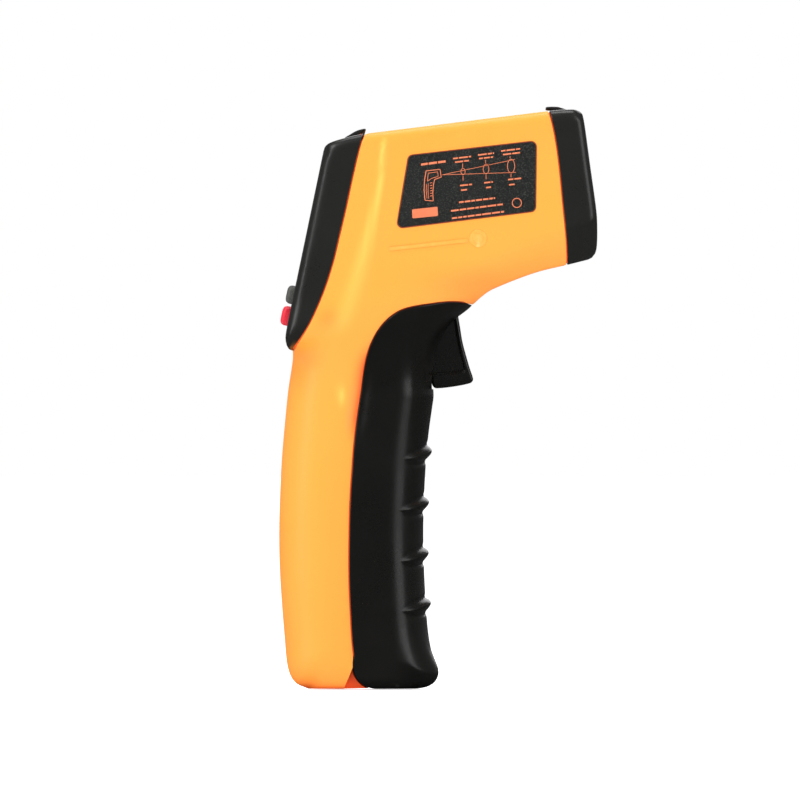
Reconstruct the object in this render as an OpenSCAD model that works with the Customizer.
// Pistol-grip infrared thermometer with a laser pointer, standing upright on the flat end of its grip.
// X is the aiming direction, Z is up, and Y = 0 is the plane where the two housing halves meet.
// The origin is on the base face, just behind the battery door's hinge.

/* [Case] */
// Half width of the head at the display end
head_half = 21.5; // [20.5:0.25:22]
// Half width of the head at the nose
nose_half = 19; // [18.5:0.25:19.5]
// Half width of the grip
grip_half = 16; // [15.75:0.25:16.5]
// Wall thickness of the moulded shells
wall = 2; // [1.8:0.1:2.2]
// Gap left at each visible seam
seam = 0.3; // [0.2:0.05:0.4]
// Gap between the two housing halves
split = 0.1; // [0.06:0.02:0.2]

/* [Moving parts] */
// Width of the trigger
trigger_w = 12; // [11:0.5:12]
// Radius of the trigger pin
trigger_pin_r = 1.25; // [1:0.05:1.4]
// Radius of the battery door's hinge pin
door_pin_r = 1; // [0.8:0.05:1.1]
// Radial running clearance of each pin
run_gap = 0.05; // [0.03:0.01:0.08]
// Height that the two grey buttons stand proud
grey_proud = 1.8; // [1.2:0.1:2]
// Height that the red button stands proud
red_proud = 2; // [1.4:0.1:2.2]

/* [Contents] */
// Diameter of a battery cell
cell_d = 10.5; // [10:0.1:10.5]
// Length of a battery cell over its terminals
cell_len = 44.5; // [43.5:0.25:44.5]
// Outer radius of the optical tube
tube_r = 10.2; // [9.8:0.1:10.3]
// Radius of the laser module
laser_r = 3; // [2.6:0.1:3]

/* [Hidden] */
$fn = 48;
face_angle = 11.95;          // lean of the display face from the vertical
face_origin = [-14.5, 122];  // origin of the display face frame, in X and Z
nose_angle = 8.1;            // tilt of the nose face and of the optical axis
nose_origin = [60.96, 129];  // origin of the nose face frame, in X and Z
hinge = [3.6, 6.2];          // battery door hinge, in X and Z
pivot = [21, 103];           // trigger pivot, in X and Z
screws = [[-13, 14], [-11, 70], [31, 109.5], [2, 119]];   // housing screws, in X and Z
door_bore_r = door_pin_r + run_gap;
trigger_bore_r = trigger_pin_r + run_gap;
orange = [1, 0.69, 0.25];
black = [0.13, 0.13, 0.12];
key_grey = [0.42, 0.42, 0.4];
board_green = [0.1, 0.42, 0.2];

// ---------- numbers and curves ----------
function mix(a, b, t) = a + (b - a) * t;
function clamp(value, low, high) = max(low, min(high, value));
// Smooth step from 0 at a to 1 at b
function ease(a, b, value) = let (t = clamp((value - a) / (b - a), 0, 1)) t * t * (3 - 2 * t);
// Distance from a point to a segment, and to a line of points
function segment_dist(spot, a, b) =
    let (run = b - a, t = clamp(((spot - a) * run) / (run * run), 0, 1))
    norm(spot - a - run * t);
function path_dist(spot, path) =
    min([for (i = [0:len(path) - 2]) segment_dist(spot, path[i], path[i + 1])]);
// How far an edge rounding pulls the side in, at a distance from the edge
function edge_drop(dist, reach, depth) =
    dist >= reach ? 0 : depth * (1 - sqrt(max(0, 1 - pow(1 - dist / reach, 2))));
// Catmull-Rom curve through points, with a number of steps for each span
function spline(p0, p1, p2, p3, t) =
    0.5 * (2 * p1 + (p2 - p0) * t + (2 * p0 - 5 * p1 + 4 * p2 - p3) * t * t
    + (3 * p1 - p0 - 3 * p2 + p3) * t * t * t);
function curve(path, steps) =
    let (last = len(path) - 1)
    [for (i = [0:last - 1], k = [0:steps - 1])
        spline(path[max(i - 1, 0)], path[i], path[i + 1], path[min(i + 2, last)], k / steps),
        path[last]];
// Point at fraction t of a line of points, each span counting the same
function along(path, t) =
    let (last = len(path) - 1, at = clamp(t, 0, 0.99999) * last, i = floor(at))
    mix(path[i], path[i + 1], at - i);

// ---------- outline of the case, as seen from the side (X, Z) ----------
top_line = [[-10.4, 141.6], [-8.9, 143.6], [-6, 144.7], [0, 146.1], [48.7, 152.1], [56.2, 152.4]];
nose_front = [[57.1, 152], [57.95, 150.6], [59.8, 137.5], [61.6, 124.5], [61.6, 116.2],
    [59.4, 113.1]];
barrel_low = [[59.4, 113.1], [54, 111.7], [46.6, 110], [41.3, 108.2], [36.1, 106.1],
    [33.4, 104.9], [30.8, 102.8], [28.8, 100.9]];
face_line = [[-10.4, 141.6], [-16.8, 110.8], [-20, 95.3], [-20.3, 91.9]];
grip_back = [[-20.3, 91.9], [-19, 88.5], [-19.1, 82], [-20.5, 70.8], [-21.4, 60], [-22, 48],
    [-22.1, 38], [-21.6, 26], [-20.6, 13], [-20, 7], [-19.2, 3.6]];
grip_front = [[28.8, 100.9], [27.2, 99], [25.7, 97.5], [23.5, 97], [21.8, 94.3], [20.3, 91.4],
    [19.2, 87], [18.8, 82], [18.7, 79], [17.6, 70.8], [16.3, 56.3], [15.9, 43], [16.2, 30],
    [17.1, 15.5], [18.2, 9.6], [19.95, 4.2]];

head_rear_x = -10;     // where the head has its display-end width
head_taper_len = 70;   // run over which it narrows to its nose width
shoulder_rear = [-18, 93];
shoulder_front = [61.6, 124];
barrel_half_min = 10;

function head_half_at(x) = mix(head_half, nose_half, (x - head_rear_x) / head_taper_len);
// Height of the shoulder, below which the head narrows to the barrel's underside and to the grip
function shoulder(x) =
    mix(shoulder_rear[1], shoulder_front[1],
        (x - shoulder_rear[0]) / (shoulder_front[0] - shoulder_rear[0]));
// Half width of the case at a point of the side view, before its edges are rounded
function core_half(spot) =
    let (x = spot[0], z = spot[1],
        line = shoulder(x),
        head = head_half_at(x),
        below = max(0, line - z),
        barrel = max(barrel_half_min, head - 0.68 * (sqrt(below * below + 1) - 1)),
        blend_low = mix(84, line - 24, ease(-15, 5, x)),
        grip = mix(grip_half, head, ease(blend_low, line + 2, z)))
    mix(grip, barrel, ease(12, 32, x));
// The same with rounded edges; the grip's roundings fade out toward the head and ease at the base
function half_width(spot) =
    let (x = spot[0], z = spot[1],
        back_share = (1 - ease(-5, 1.5, z - 90.5 - 0.4 * (x + 17.9))) * mix(0.78, 1, ease(2, 15, z)),
        front_share = (1 - ease(97, 106, z)) * mix(0.62, 1, ease(2, 16, z)))
    max(0.8, core_half(spot)
    - edge_drop(path_dist(spot, top_line), reach = 3, depth = 2.6)
    - edge_drop(path_dist(spot, nose_front), reach = 2.4, depth = 1.9)
    - edge_drop(path_dist(spot, barrel_low), reach = 3, depth = 2.2)
    - edge_drop(path_dist(spot, face_line), reach = 3.2, depth = 3)
    - back_share * edge_drop(path_dist(spot, grip_back), reach = 12, depth = 12)
    - front_share * edge_drop(path_dist(spot, grip_front), reach = 10, depth = 11)
    - edge_drop(z, reach = 3, depth = 2.4));

// Ribs across the side of the case, from the nose round to the base.
// Each runs from the top-and-back outline to the underside-and-front outline.
ribs = [
    [[57.1, 152], [59.4, 113.1]], [[53, 152.3], [54, 111.7]], [[48.7, 152.1], [47, 110.1]],
    [[38, 150.8], [38, 106.9]], [[27, 149.4], [33, 104.7]], [[16, 148.1], [30.3, 102.4]],
    [[6, 146.85], [28.8, 100.9]], [[-2, 145.65], [27.2, 99]], [[-7, 144.35], [25.7, 97.5]],
    [[-9.6, 142.75], [24, 97.1]], [[-10.6, 140.6], [22.8, 96]], [[-12.7, 130.7], [21.3, 93.5]],
    [[-14.75, 120.7], [20.2, 91]], [[-16.8, 110.8], [19.4, 88.2]], [[-18.7, 101.6], [18.95, 85]],
    [[-20, 95.3], [18.75, 81.5]], [[-20.3, 91.9], [18.7, 79]], [[-19, 88.5], [18.3, 76.5]],
    [[-19.1, 82], [17.75, 72]], [[-20.5, 70.8], [16.9, 63]], [[-21.4, 60], [16.25, 55]],
    [[-22, 48], [15.95, 46]], [[-22.1, 38], [15.95, 37]], [[-21.6, 26], [16.4, 26]],
    [[-20.6, 13], [17.3, 14]], [[-20, 7], [18.7, 8.4]], [[-19.2, 3.6], [19.95, 4.2]],
    [[-17.6, 1.4], [19.2, 1.9]], [[-14.5, 0], [17, 0]]];

// Solid of the whole case with every wall moved in by inset
module body(inset = 0) {
    last = len(ribs) - 1;
    // An inset solid leaves out the rib next to the base
    used = [for (i = [0:last]) if (inset == 0 || i != last - 1) i];
    // Distances along a rib, closer together near its ends
    function stations(run) = inset > 0
        ? [inset, inset + 0.7, inset + 2.6, 9, run / 2,
            run - 9, run - inset - 2.6, run - inset - 0.7, run - inset]
        : [0, 0.5, 1.6, 3.2, 7.5, for (k = [1:4]) mix(7.5, run - 7.5, k / 5),
            run - 7.5, run - 3.2, run - 1.6, run - 0.5, run];
    grid = [for (i = used) let (from = ribs[i][0], to = ribs[i][1], run = norm(to - from))
        [for (dist = stations(run)) let (
            spot = i == 0 ? along(nose_front, dist / run) - [inset, 0] : mix(from, to, dist / run))
            i == last ? [spot[0], inset] : spot]];
    rows = len(grid);
    cols = len(grid[0]);
    points = [for (hand = [-1, 1]) for (row = grid) for (spot = row)
        [spot[0], hand * max(0.6, half_width(spot) - inset), spot[1]]];
    function right(i, j) = i * cols + j;
    function left(i, j) = rows * cols + right(i, j);
    faces = concat(
        [for (i = [0:rows - 2]) for (j = [0:cols - 2]) for (face = [
            [right(i, j), right(i, j + 1), right(i + 1, j + 1)],
            [right(i, j), right(i + 1, j + 1), right(i + 1, j)],
            [left(i, j), left(i + 1, j + 1), left(i, j + 1)],
            [left(i, j), left(i + 1, j), left(i + 1, j + 1)]]) face],
        [for (i = [0:rows - 2]) for (face = [
            [right(i, 0), right(i + 1, 0), left(i + 1, 0), left(i, 0)],
            [right(i + 1, cols - 1), right(i, cols - 1), left(i, cols - 1), left(i + 1, cols - 1)]
            ]) face],
        [for (j = [0:cols - 2]) for (face = [
            [right(0, j + 1), right(0, j), left(0, j), left(0, j + 1)],
            [right(rows - 1, j), right(rows - 1, j + 1), left(rows - 1, j + 1), left(rows - 1, j)]
            ]) face]);
    polyhedron(points, faces, convexity = 8);
}
// Layer of the case between two insets
module shell(outer, inner) {
    difference() {
        body(outer);
        body(inner);
    }
}

// ---------- building blocks ----------
// Side-view area (X, Z) made into a plate centred on Y = 0
module side(thick = 60) {
    rotate([90, 0, 0]) linear_extrude(thick, center = true, convexity = 6) children();
}
module side_pair(y, thick) {
    for (hand = [-1, 1]) translate([0, hand * y, 0]) side(thick) children();
}
// Cylinder along Y through a spot in X and Z
module y_rod(spot, y, radius, facets = 48) {
    translate([spot[0], y[0], spot[1]]) rotate([-90, 0, 0])
        cylinder(r = radius, h = y[1] - y[0], $fn = facets);
}
// Cylinder along Z from height z
module peg(spot, z, radius, height, facets = 48) {
    translate([spot[0], spot[1], z]) cylinder(r = radius, h = height, $fn = facets);
}
// Box between two values on each axis
module block(x, y, z) {
    translate([x[0], y[0], z[0]]) cube([x[1] - x[0], y[1] - y[0], z[1] - z[0]]);
}
// Box centred on a spot in X and Y, between two values of Z
module pad(spot, size, z) {
    translate([spot[0] - size[0] / 2, spot[1] - size[1] / 2, z[0]])
        cube([size[0], size[1], z[1] - z[0]]);
}
module cross_slot(length, width, depth) {
    cube([length, width, depth], center = true);
    cube([width, length, depth], center = true);
}

// Frame of the display face: X' to the right of the person reading it, Y' up the face, Z' out of it
module on_face() {
    multmatrix([[0, sin(face_angle), -cos(face_angle), face_origin[0]],
        [-1, 0, 0, 0],
        [0, cos(face_angle), sin(face_angle), face_origin[1]],
        [0, 0, 0, 1]]) children();
}
// Frame of the nose face: Z' out along the optical axis, Y' up the face
module on_nose() {
    multmatrix([[0, -sin(nose_angle), cos(nose_angle), nose_origin[0]],
        [1, 0, 0, 0],
        [0, cos(nose_angle), sin(nose_angle), nose_origin[1]],
        [0, 0, 0, 1]]) children();
}

// Tube along a path of 3-D points
module sweep(path, radius, sides = 6) {
    count = len(path);
    function heading(i) =
        let (from = path[max(i - 1, 0)], to = path[min(i + 1, count - 1)])
        (to - from) / norm(to - from);
    function across(dir) =
        let (helper = abs(dir[1]) < 0.8 ? [0, 1, 0] : [1, 0, 0], normal = cross(dir, helper))
        normal / norm(normal);
    points = [for (i = [0:count - 1])
        let (dir = heading(i), u = across(dir), v = cross(dir, u))
        for (j = [0:sides - 1])
            path[i] + radius * (cos(360 * j / sides) * u + sin(360 * j / sides) * v)];
    polyhedron(points, concat(
        [[for (j = [0:sides - 1]) j]],
        [for (i = [0:count - 2]) for (j = [0:sides - 1])
            let (here = i * sides, ahead = here + sides, next = (j + 1) % sides)
            for (face = [[here + j, ahead + j, ahead + next], [here + j, ahead + next, here + next]])
                face],
        [[for (j = [sides - 1:-1:0]) (count - 1) * sides + j]]), convexity = 10);
}
// Points of a coil about Z; radius and z each give the start and end values
function coil(centre, radius, z, turns, steps = 12) =
    [for (i = [0:turns * steps])
        let (t = i / (turns * steps), angle = 360 * i / steps, r = mix(radius[0], radius[1], t))
        [centre[0] + r * cos(angle), centre[1] + r * sin(angle), mix(z[0], z[1], t)]];

// ---------- seams, as side-view areas ----------
bezel_seam = [[0.4, 145.9], [-2.4, 136.1], [-4.7, 125.5], [-7.6, 112.9], [-10.4, 104.5],
    [-14.1, 96.1], [-18.4, 89.4]];
nose_seam = [[48.9, 152.1], [51.3, 140.3], [52.6, 127.6], [53.7, 117.1], [53.75, 111.4]];
door_seam = [[28.8, 101.1], [22.9, 101.7], [15, 100.9], [9.7, 99.7], [5.8, 96.9], [1.8, 90.8],
    [0, 82.6], [-1.3, 73.4], [-2.9, 57.6], [-3.7, 39.2], [-3.7, 24], [-2.6, 9.5]];
door_heel_r = 6.2;    // heel of the door about its hinge
heel_room_r = 6.9;    // clearance circle of the heel

module bezel_area() {
    polygon(concat([[2.2, 152]], curve(bezel_seam, 2), [[-20.5, 85.5], [-40, 85.5], [-40, 152]]));
}
module nose_area() {
    polygon(concat([[48.3, 160]], curve(nose_seam, 2), [[53.75, 100], [80, 100], [80, 160]]));
}
module door_area() {
    heel = [for (angle = [200:14:270]) hinge + door_heel_r * [cos(angle), sin(angle)]];
    polygon(concat(curve(door_seam, 2), heel, [[3.6, -6], [60, -6], [60, 101.1]]));
}
// The small step in the case's lower corner, beside the door's heel
module heel_step() {
    polygon([[-2.6, 7.4], [-5, 0.4], [-5.2, -4], [9, -4], hinge]);
}
// Opening for the trigger
module trigger_slot() {
    reach = trigger_w / 2 + 0.6;
    block([4, 29.2], [-reach, reach], [78.4, 105.2]);
}
// Part of the outer skin inside a seam
module skin_piece() {
    intersection() {
        shell(0, wall);
        side() offset(delta = -seam / 2) children();
    }
}
// Side-view band from the area's edge, offset by outset, to the area shifted along X
module seam_band(outset, shift) {
    difference() {
        offset(delta = outset) children();
        translate([shift, 0]) children();
    }
}
// Lip that reaches past a seam under the next part, and its join to the skin.
// toward is the X direction from the seam to the part.
module inner_lip(outset, toward) {
    intersection() {
        shell(wall + 0.2, wall + 1.3);
        side() seam_band(outset, toward * 1.2) children();
    }
    intersection() {
        shell(wall - 0.5, wall + 0.6);
        side() seam_band(-seam / 2, toward * 1.4) children();
    }
}

// ---------- housing ----------
hinge_lug_y = 9.7;
hinge_lug_w = 4.2;
hinge_lug = [[3.6, 3.6], [5.6, 4.5], [6.2, 6.2], [5.4, 8.1], [3.6, 8.8], [-7, 10.4],
    [-9.5, 10.4], [-9.5, 0.6], [-6.2, 0.6], [-6.2, 5.2]];
post_r = 3.5;
screw_bore_r = 1.28;
screw_head_bore_r = 2.6;

module housing_skin() {
    difference() {
        shell(0, wall);
        side() offset(delta = seam / 2) bezel_area();
        side() offset(delta = seam / 2) nose_area();
        side() offset(delta = seam / 2) door_area();
        side() heel_step();
    }
}
// Clears the space in front of the grip's head end
module clear_front() {
    block([24, 70], [-30, 30], [60, 140]);
}
// Lip under the door's edges, and beside its heel
module door_lip() {
    difference() {
        intersection() {
            shell(wall + 0.35, wall + 1.5);
            side() union() {
                difference() {
                    offset(delta = 3) door_area();
                    offset(delta = -3.4) door_area();
                }
                heel_step();
            }
        }
        side() translate([4, -20]) square([60, 118.5]);
        block([16, 70], [-30, 30], [60, 101.6]);
        clear_front();
    }
}
// Join between the skin and the door lip, along the seam
module door_lip_join() {
    difference() {
        intersection() {
            shell(wall - 0.4, wall + 0.7);
            side() difference() {
                offset(delta = 3.2) door_area();
                offset(delta = seam / 2) door_area();
            }
        }
        clear_front();
    }
}
// Screw posts, trigger pin lugs and the seat of the trigger spring
module housing_supports() {
    intersection() {
        union() {
            for (spot = screws) y_rod(spot, [-30, 30], post_r, 24);
            side_pair(13.7, 14) polygon([[17.6, 102.2], [24.4, 102.2], [24.4, 107], [17.6, 107]]);
            block([5.6, 12.2], [-30, 30], [113.2, 114.8]);
        }
        body(wall / 2);
    }
}
// Room for the door's heel, outside the lugs
module heel_room() {
    difference() {
        y_rod(hinge, [-15, 15], heel_room_r);
        side_pair(hinge_lug_y, hinge_lug_w) translate([-6, 3.3]) square([14, 7.4]);
    }
}
// One half of the housing; hand is -1 for the right half (-Y) and 1 for the left half.
// Here and below, resize([0, 0, 0]) changes no size; it only groups a part before its last cuts.
module housing(hand) {
    difference() {
        resize([0, 0, 0]) difference() {
            intersection() {
                translate([-60, hand < 0 ? -60 : split / 2, -10]) cube([160, 60 - split / 2, 200]);
                union() {
                    housing_skin();
                    door_lip();
                    door_lip_join();
                    // bottom plate, and the lugs that carry the door hinge
                    block([-13, 1.6], [-12.4, 12.4], [0, wall + 0.2]);
                    side_pair(hinge_lug_y, hinge_lug_w) polygon(hinge_lug);
                    housing_supports();
                }
            }
            heel_room();
            trigger_slot();
            for (spot = screws) {
                y_rod(spot, [-7.6, 9], screw_bore_r, 24);
                if (hand > 0) y_rod(spot, [8, 30], screw_head_bore_r, 24);
            }
        }
        y_rod(hinge, [-11.6, 11.6], door_bore_r);
        y_rod(pivot, [-9.7, 9.7], trigger_bore_r);
    }
}
module housing_right() { color(orange) housing(-1); }
module housing_left() { color(orange) housing(1); }

// ---------- nose cap ----------
laser_at = [0, 16];   // laser axis in the nose frame
front_sight = [[48.1, 153.35], [51.7, 153.35], [54.2, 152.2], [54.2, 151.4], [49.5, 151.4],
    [49.5, 152.35], [48.1, 152.35]];

module nose_cap() {
    color(black) difference() {
        resize([0, 0, 0]) union() {
            skin_piece() nose_area();
            inner_lip(outset = 3, toward = 1) nose_area();
            side(6) polygon(front_sight);
        }
        on_nose() translate([0, 0, -4]) cylinder(r1 = 8.2, r2 = 9.8, h = 5);
        on_nose() peg(laser_at, -4, 1.6, 6);
    }
}

// ---------- display bezel and window ----------
// Places and sizes are in the display face frame
window_at = [0, 2.3];
window_size = [32.4, 25];
window_gap = 0.4;       // opening size less window size
grey_left_at = [-9.6, -18.7];
grey_right_at = [9.6, -18.7];
grey_size = [8.4, 4.9];
red_at = [0, -24.4];
red_size = [13, 5.2];
key_gap = 0.3;          // opening size less cap size
board_posts = [[-15.4, 16], [15.4, 16], [-14.6, -26.4], [14.6, -26.4]];
rear_sight = [[-5.4, 144.6], [-3.6, 145.9], [-1.9, 146.9], [0.9, 147.55], [0.5, 146.3],
    [0.1, 144.6], [-2, 143.6]];

module display_bezel() {
    color(black) difference() {
        resize([0, 0, 0]) union() {
            difference() {
                skin_piece() bezel_area();
                on_face() pad(window_at, window_size + window_gap * [1, 1], [-6, 4]);
                on_face() for (spot = [grey_left_at, grey_right_at])
                    pad(spot, grey_size + key_gap * [1, 1], [-6, 6]);
                on_face() pad(red_at, red_size + key_gap * [1, 1], [-6, 6]);
            }
            intersection() {
                inner_lip(outset = 2.6, toward = -1) bezel_area();
                block([-40, 20], [-30, 30], [96, 160]);
            }
            // rear sight with its notch
            difference() {
                side(8) polygon(rear_sight);
                translate([-3, 0, 147.7]) rotate([0, 90, 0])
                    cylinder(r = 1.2, h = 12, center = true, $fn = 12);
            }
            on_face() for (spot = board_posts) peg(spot, -8.9, 1.9, 7.1, 20);
        }
        on_face() for (spot = board_posts) peg(spot, -9.5, 0.95, 6);
    }
}
module display_window() {
    color([0.55, 0.6, 0.6, 0.5]) on_face() pad(window_at, window_size, [-1.6, -0.2]);
}

// ---------- battery door ----------
knuckle_r = 2.6;
knuckle_w = 14.6;
// Foremost point of each finger rib, in X and Z
finger_ribs = [[18.35, 62.4], [17.5, 49.2], [17.5, 35.9], [18.1, 22.8]];
// Rib section (X, Z), relative to that point
rib_section = [[0, 0.9], [-0.5, 1.5], [-2.6, 0.9], [-6.4, -0.2], [-6.2, -1.2], [-2.9, -1.2],
    [-1.2, -1]];
// Rib plan (X, Y), with X relative to that point
rib_plan = [[-8, -15.6], [-4.5, -14.2], [-1.6, -11], [-0.3, -7], [0, 0], [-0.3, 7], [-1.6, 11],
    [-4.5, 14.2], [-8, 15.6]];

module finger_rib(tip) {
    intersection() {
        side(40) polygon([for (spot = rib_section) tip + spot]);
        difference() {
            translate([0, 0, tip[1] - 5]) linear_extrude(10)
                polygon([for (spot = rib_plan) [tip[0] + spot[0], spot[1]]]);
            body(1);
        }
    }
}
module battery_door() {
    color(black) difference() {
        resize([0, 0, 0]) union() {
            difference() {
                skin_piece() door_area();
                trigger_slot();
                side() translate([-20, -3]) square([23.5, 5.2]);
            }
            // hinge knuckle and its web to the door's bottom wall
            intersection() {
                body(0.6);
                side(knuckle_w) polygon(concat(
                    [for (angle = [30:20:260]) hinge + knuckle_r * [cos(angle), sin(angle)]],
                    [[5.2, 0.8], [13, 0.8], [13, 2.4]]));
            }
            for (tip = finger_ribs) finger_rib(tip);
        }
        y_rod(hinge, [-15, 15], door_bore_r);
    }
}
module door_hinge_pin() { color("silver") y_rod(hinge, [-11.5, 11.5], door_pin_r); }

// ---------- trigger ----------
plunger_at = [15, 0];
plunger_r = 0.9;
terminal_y = 4.5;     // switch terminals, either side of the middle
trigger_blade = [[24.2, 103.6], [25, 98.6], [26.2, 91.4], [27.2, 87.6], [28.2, 84.2],
    [28.8, 82.3], [28.85, 81.3], [27.9, 80.4], [23.7, 79.5], [19.2, 79.15], [18.2, 80.4],
    [17.9, 84], [18, 92], [18.4, 99], [19, 101]];
trigger_arm = [[21, 104.4], [6.3, 104.4], [6.3, 102.2], [21, 101.4]];

module trigger() {
    color(black) difference() {
        union() {
            side(trigger_w) polygon(trigger_blade);
            y_rod(pivot, [-trigger_w / 2, trigger_w / 2], 3.3);
            side(6) polygon(trigger_arm);
        }
        y_rod(pivot, [-20, 20], trigger_bore_r);
    }
}
module trigger_pin() { color("silver") y_rod(pivot, [-9.5, 9.5], trigger_pin_r); }
module trigger_spring() {
    color("silver") sweep(coil([9, 0], radius = [2, 2], z = [104.9, 112.8], turns = 5), 0.32, 5);
}
module trigger_switch() {
    color([0.2, 0.2, 0.22]) difference() {
        union() {
            block([12.5, 17.6], [-6.4, 6.4], [106.1, 112.6]);
            for (y = [-terminal_y, terminal_y])
                block([14.6, 15.4], [y - 0.3, y + 0.3], [112.4, 115.5]);
        }
        peg(plunger_at, 100, plunger_r + 0.06, 9.9);
    }
}
module trigger_switch_plunger() { color("ivory") peg(plunger_at, 104.5, plunger_r, 3.8); }

// ---------- buttons and display ----------
pcb_z = [-10.6, -9];   // back and front of the main board, in the face frame
stem_r = 1.6;

// Button cap with a flange and a short post behind it
module key(spot, size, proud) {
    on_face() difference() {
        union() {
            pad(spot, size, [-3, proud]);
            pad(spot, size + [1.4, 0], [-3.3, -2.3]);
            peg(spot, -5.2, 1.5, 2.5);
        }
        // sloped shoulder at the top edge of the cap
        translate([spot[0], spot[1] + size[1] / 2, proud]) rotate([45, 0, 0])
            cube([size[0] + 2, 0.9, 0.9], center = true);
    }
}
module button_left() { color(key_grey) key(grey_left_at, grey_size, grey_proud); }
module button_right() { color(key_grey) key(grey_right_at, grey_size, grey_proud); }
module button_red() { color([0.88, 0.1, 0.18]) key(red_at, red_size, red_proud); }
module key_stem(spot) { color("ivory") on_face() peg(spot, -6.9, stem_r, 1.65); }
module key_stem_left() { key_stem(grey_left_at); }
module key_stem_right() { key_stem(grey_right_at); }
module key_stem_red() { key_stem(red_at); }
module key_switches() {
    color([0.3, 0.3, 0.32]) on_face() for (spot = [grey_left_at, grey_right_at, red_at])
        difference() {
            pad(spot, [6, 5.6], [pcb_z[1], -5.9]);
            peg(spot, -8.4, stem_r + 0.06, 5);
        }
}
module lcd_glass() { color([0.65, 0.72, 0.62]) on_face() pad([0, 2.2], [27, 23.2], [-4.9, -2.3]); }
module backlight_panel() { color("white") on_face() pad([0, 3.6], [27, 20.2], [-7.2, -5]); }
module zebra_strip() { color([0.3, 0.3, 0.5]) on_face() pad([0, -8.2], [25, 2], [-8.9, -5]); }
module main_pcb() {
    color(board_green) on_face() difference() {
        pad([0, -5.6], [34.4, 46.4], pcb_z);
        for (spot = board_posts) peg(spot, -12, 1.1, 6);
    }
}
// Chip with seven legs on each of its four sides
module controller_chip() {
    chip_y = 2;
    leg_pitch = 1.25;
    leg_reach = 5.4;
    leg_z = [-11.4, -10.65];
    color([0.12, 0.12, 0.13]) on_face() {
        pad([0, chip_y], [10, 10], [-12.4, -10.9]);
        for (k = [-3:1:3], end = [-1, 1]) {
            pad([k * leg_pitch, chip_y + end * leg_reach], [0.4, 1.6], leg_z);
            pad([end * leg_reach, chip_y + k * leg_pitch], [1.6, 0.4], leg_z);
        }
    }
}
module buzzer() {
    color([0.08, 0.08, 0.08]) on_face() translate([0, -14, -15.2]) difference() {
        cylinder(r = 6, h = 4.5);
        peg([0, 0], -1, 1, 3);
    }
}
module pcb_screws() {
    color("silver") on_face() for (spot = board_posts) translate([spot[0], spot[1], 0])
        difference() {
            union() {
                peg([0, 0], -10.7, 0.9, 6.4);
                peg([0, 0], -12, 1.8, 1.3);
            }
            translate([0, 0, -12.5]) cross_slot(2.4, 0.5, 2);
        }
}

// ---------- optics, in the nose frame ----------
axis = [0, 0];
lens_seat_r = 8.5;
laser_lens_r = 2;

module optic_tube() {
    color([0.15, 0.15, 0.16]) on_nose() difference() {
        peg(axis, -28, tube_r, 24.8);
        peg(axis, -26, 7.2, 30);
        peg(axis, -6.7, 8.6, 10);
        peg(axis, -30, 4.25, 10);
    }
}
module ir_lens() {
    color([0.75, 0.75, 0.7]) on_nose() translate([0, 0, -6.5]) rotate_extrude()
        polygon(concat([[0, 0], [lens_seat_r, 0], [lens_seat_r, 0.9]],
            [for (angle = [0:10:90]) [7.8 * cos(angle), 0.9 + 1.4 * sin(angle)]]));
}
module lens_retaining_ring() {
    color("silver") on_nose() translate([0, 0, -5.4]) difference() {
        cylinder(r = lens_seat_r, h = 2);
        peg(axis, -1, 7.9, 5);
        // two notches in the front edge
        for (angle = [0, 180]) rotate(angle) translate([8, 0, 2])
            cube([2, 1.2, 0.8], center = true);
    }
}
// Four rods on the sensor's leg circle
module sensor_legs(z, radius) {
    for (angle = [45:90:315]) peg(2.5 * [cos(angle), sin(angle)], z, radius, 4);
}
module thermopile_sensor() {
    color("gold") on_nose() {
        difference() {
            union() {
                peg(axis, -30.6, 4.15, 4.4);
                peg(axis, -30.6, 4.6, 0.6);
            }
            peg(axis, -26.6, 2, 2);
        }
        sensor_legs(-34.4, 0.22);
    }
}
module sensor_pcb() {
    color(board_green) on_nose() difference() {
        translate([-8.5, -8.5, -32.6]) cube([17, 17, 1.2]);
        sensor_legs(-34, 0.3);
    }
}
module laser_module() {
    color([0.8, 0.65, 0.3]) on_nose() translate([laser_at[0], laser_at[1], -15]) difference() {
        cylinder(r = laser_r, h = 12);
        peg(axis, 9, laser_lens_r + 0.05, 4);
        peg(axis, 4, 0.8, 10);
    }
}
module laser_lens() {
    dome = [for (angle = [0:15:90]) [laser_lens_r * cos(angle), 0.6 + 0.7 * sin(angle)]];
    color([0.8, 0.3, 0.3]) on_nose() translate([laser_at[0], laser_at[1], -5.9])
        rotate_extrude() polygon(concat([[0, 0], [laser_lens_r, 0]], dome));
}
module laser_holder() {
    fit = 0.04;
    color([0.2, 0.2, 0.2]) on_nose() difference() {
        translate([-4.6, 8.4, -13]) cube([9.2, 11.4, 7]);
        peg(axis, -40, tube_r + fit, 60);
        peg(laser_at, -20, laser_r + fit, 30);
    }
}

// ---------- power ----------
cell_x = 3.9;
cell_y = 5.7;             // cells stand either side of the middle
cell_z = 13.4;
cell_pocket_r = cell_d / 2 + 0.12;
pocket_z = [12.2, 59.6];  // floor and ceiling of the tray's pockets

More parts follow.
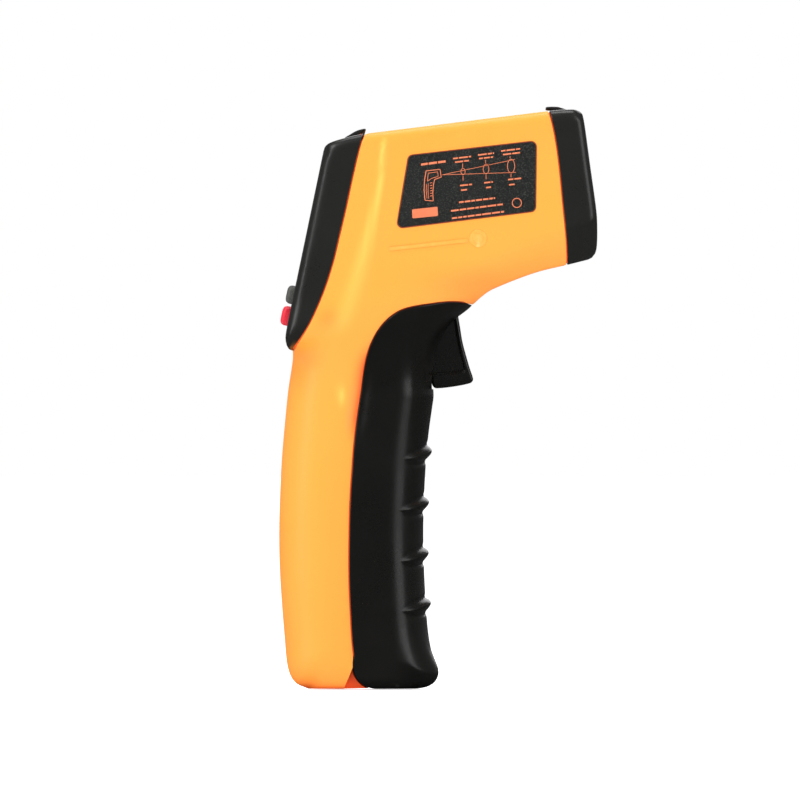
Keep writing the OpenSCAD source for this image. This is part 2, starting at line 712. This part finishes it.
module cell(y, up) {
    radius = cell_d / 2;
    color([0.2, 0.35, 0.6]) translate([cell_x, y, cell_z])
        mirror([0, 0, up ? 0 : 1]) translate([0, 0, up ? 0 : -cell_len])
        rotate_extrude() polygon([[0, 0.3], [2.6, 0.3], [2.6, 0.1], [radius - 0.5, 0.1],
            [radius, 0.6], [radius, cell_len - 1.8], [radius - 0.5, cell_len - 1.2],
            [1.9, cell_len - 1.2], [1.9, cell_len - 0.2], [1.6, cell_len], [0, cell_len]]);
}
module battery_cell_left() { cell(cell_y, true); }
module battery_cell_right() { cell(-cell_y, false); }
module battery_tray() {
    color([0.15, 0.15, 0.15]) difference() {
        block([-2.2, 7.6], [-11.9, 11.9], [11.4, 60.6]);
        for (y = [-cell_y, cell_y]) {
            peg([cell_x, y], pocket_z[0], cell_pocket_r, pocket_z[1] - pocket_z[0]);
            block([cell_x, 20], [y - cell_pocket_r, y + cell_pocket_r], pocket_z);
        }
        // recess for the contact plate
        block([cell_x - 3.1, 20], [-cell_y - 3.2, cell_y + 3.2], [58.9, pocket_z[1]]);
    }
}
module battery_springs() {
    // Y of the cell and height of the coil's top
    color("silver") for (spring = [[cell_y, 13.2], [-cell_y, 13.1]])
        sweep(coil([cell_x, spring[0]], radius = [3.6, 1.6], z = [12.62, spring[1]], turns = 2),
            0.25, 5);
}
module battery_contact_plate() {
    color("silver") block([cell_x - 3, cell_x + 3.4], [-cell_y - 3, cell_y + 3], [59.05, 59.4]);
}

// ---------- leads, as smooth wires through points ----------
module lead(path, radius, steps = 4, sides = 6) {
    sweep(curve(path, steps), radius, sides);
}
module battery_leads() {
    color([0.7, 0.1, 0.1]) for (hand = [1, -1])
        lead([[-3.2, hand * 5.2, 58], [-3.4, hand * 5.2, 66], [-3, hand * 4.4, 80],
            [-2.4, hand * 3.4, 90], [-4, hand * 3, 97], [-8.2, hand * 3, 97.6]], 0.6);
}
module laser_leads() {
    color([0.8, 0.2, 0.2]) for (hand = [-1, 1])
        lead([[43.2, hand * 1.2, 142.4], [37, hand * 1.3, 141.4], [24, hand * 1.8, 139.6],
            [10, hand * 2.6, 137.2], [-0.6, hand * 3.2, 135]], 0.5);
}
module sensor_leads() {
    color([0.9, 0.9, 0.9]) for (k = [-1.5:1:1.5])
        lead([for (spot = [[26.6, 118.2], [22, 119], [14, 127], [4, 130], [-1.2, 129.4]])
            [spot[0], k * 1.4, spot[1]]], 0.42, steps = 3, sides = 5);
}
module switch_leads() {
    color([0.2, 0.2, 0.25]) for (hand = [-1, 1])
        lead([[15, hand * terminal_y, 115.9], [14, hand * 4.6, 119], [9, hand * 6, 122.6],
            [3, hand * 8, 125.6], [-2, hand * 8, 124]], 0.5, steps = 3, sides = 5);
}

// ---------- labels and screws ----------
label_corners = [[12.1, 140.3], [45.5, 144.1], [45.3, 125.8], [8.9, 121.3]];
label_corner_r = 1.3;
label_thick = 0.25;

// A thin plate that lies on the flat side of the head
module label(hand) {
    slope = atan((head_half - nose_half) / head_taper_len);
    color([0.15, 0.16, 0.16]) translate([0, hand * (head_half_at(0) + 0.03), 0])
        rotate([0, 0, -hand * slope]) rotate([90, 0, 0])
        translate([0, 0, hand > 0 ? -label_thick : 0]) linear_extrude(label_thick)
        offset(r = label_corner_r) offset(delta = -label_corner_r) polygon(label_corners);
}
module label_right() { label(-1); }
module label_left() { label(1); }
// Heads are on the left (+Y) side
module housing_screws() {
    color("silver") for (spot = screws) difference() {
        union() {
            y_rod(spot, [-7.2, 8.1], 1.2);
            y_rod(spot, [8.05, 10.2], 2.3);
        }
        translate([spot[0], 10.4, spot[1]]) rotate([90, 0, 0]) cross_slot(3.2, 0.7, 2.4);
    }
}

housing_right();
housing_left();
nose_cap();
display_bezel();
display_window();
battery_door();
door_hinge_pin();
trigger();
trigger_pin();
trigger_spring();
button_left();
button_right();
button_red();
key_stem_left();
key_stem_right();
key_stem_red();
key_switches();
lcd_glass();
backlight_panel();
zebra_strip();
main_pcb();
controller_chip();
buzzer();
pcb_screws();
trigger_switch();
trigger_switch_plunger();
optic_tube();
ir_lens();
lens_retaining_ring();
thermopile_sensor();
sensor_pcb();
laser_module();
laser_lens();
laser_holder();
battery_cell_left();
battery_cell_right();
battery_tray();
battery_springs();
battery_contact_plate();
battery_leads();
laser_leads();
sensor_leads();
switch_leads();
label_right();
label_left();
housing_screws();
